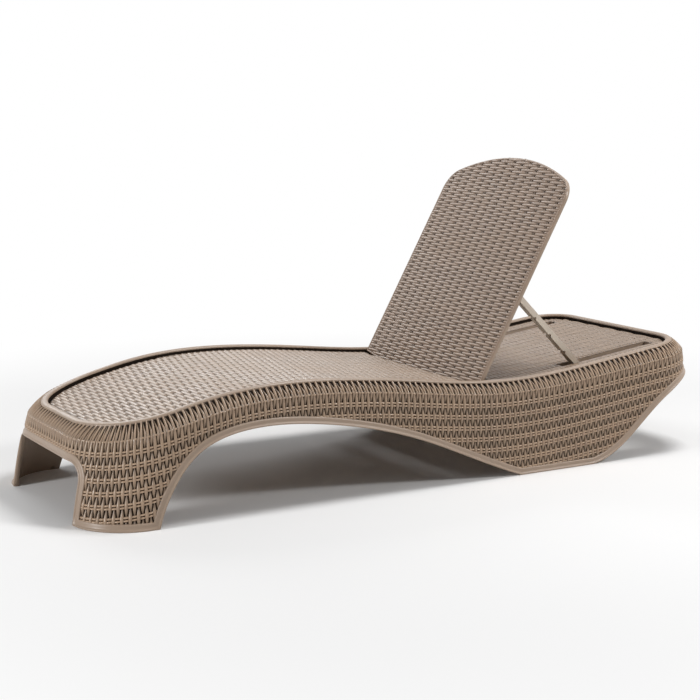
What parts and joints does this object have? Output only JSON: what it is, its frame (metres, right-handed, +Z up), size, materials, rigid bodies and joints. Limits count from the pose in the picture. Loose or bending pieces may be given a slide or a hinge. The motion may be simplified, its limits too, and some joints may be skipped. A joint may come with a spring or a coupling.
{
  "type": "sun lounger",
  "caption": "Woven-look resin sun lounger: skirted body on arched legs and a keel, wavy seat, and a hinged backrest held at a choice of angles by notched props.",
  "frame": {"origin": "on the ground, at the middle of the length and of the width", "axes": "+X from the foot end to the head end, +Y to the left of someone lying on it, +Z up"},
  "size_m": [1.8699, 0.7116, 0.8239],
  "materials": {
    "woven_resin": "moulded weave, low sheen, taupe",
    "smooth_resin": "smooth satin moulding, taupe",
    "prop_resin": "smooth satin moulding, beige",
    "steel": "zinc-plated"
  },
  "bodies": {
    "base": {"body_shell": "woven_resin", "top_rim": "smooth_resin", "seat_deck": "woven_resin", "rear_deck": "woven_resin", "hinge_beam": "smooth_resin", "beam_saddle_left": "smooth_resin", "beam_saddle_right": "smooth_resin", "hinge_bracket_left": "smooth_resin", "hinge_bracket_right": "smooth_resin", "hinge_pin_left": "steel", "hinge_pin_right": "steel", "prop_rest_bar": "steel", "bar_socket_left": "smooth_resin", "bar_socket_right": "smooth_resin", "deck_screws": "steel", "bracket_screws": "steel"},
    "backrest": {"backrest_panel": "woven_resin", "backrest_frame": "smooth_resin", "backrest_screws": "steel", "prop_pin_left": "steel", "prop_pin_right": "steel"},
    "prop_left": {"prop_arm_left": "prop_resin"},
    "prop_right": {"prop_arm_right": "prop_resin"}
  },
  "joints": [
    {"name": "backrest_recline", "type": "hinge", "parent": "base", "child": "backrest", "pos_m": [0.215, 0, 0.235], "axis": [0, 1, 0], "range_deg": [0, 55.2]},
    {"name": "prop_left_swing", "type": "hinge", "parent": "backrest", "child": "prop_left", "pos_m": [0.33333, 0.224, 0.48168], "axis": [0, 1, 0], "range_deg": [-106, 0]},
    {"name": "prop_right_swing", "type": "hinge", "parent": "backrest", "child": "prop_right", "pos_m": [0.33333, -0.224, 0.48168], "axis": [0, 1, 0], "range_deg": [-106, 0]}
  ],
  "couplings": [
    {"joint": "prop_left_swing", "follows": "backrest_recline", "ratio": -1.9076},
    {"joint": "prop_right_swing", "follows": "backrest_recline", "ratio": -1.9076}
  ]
}
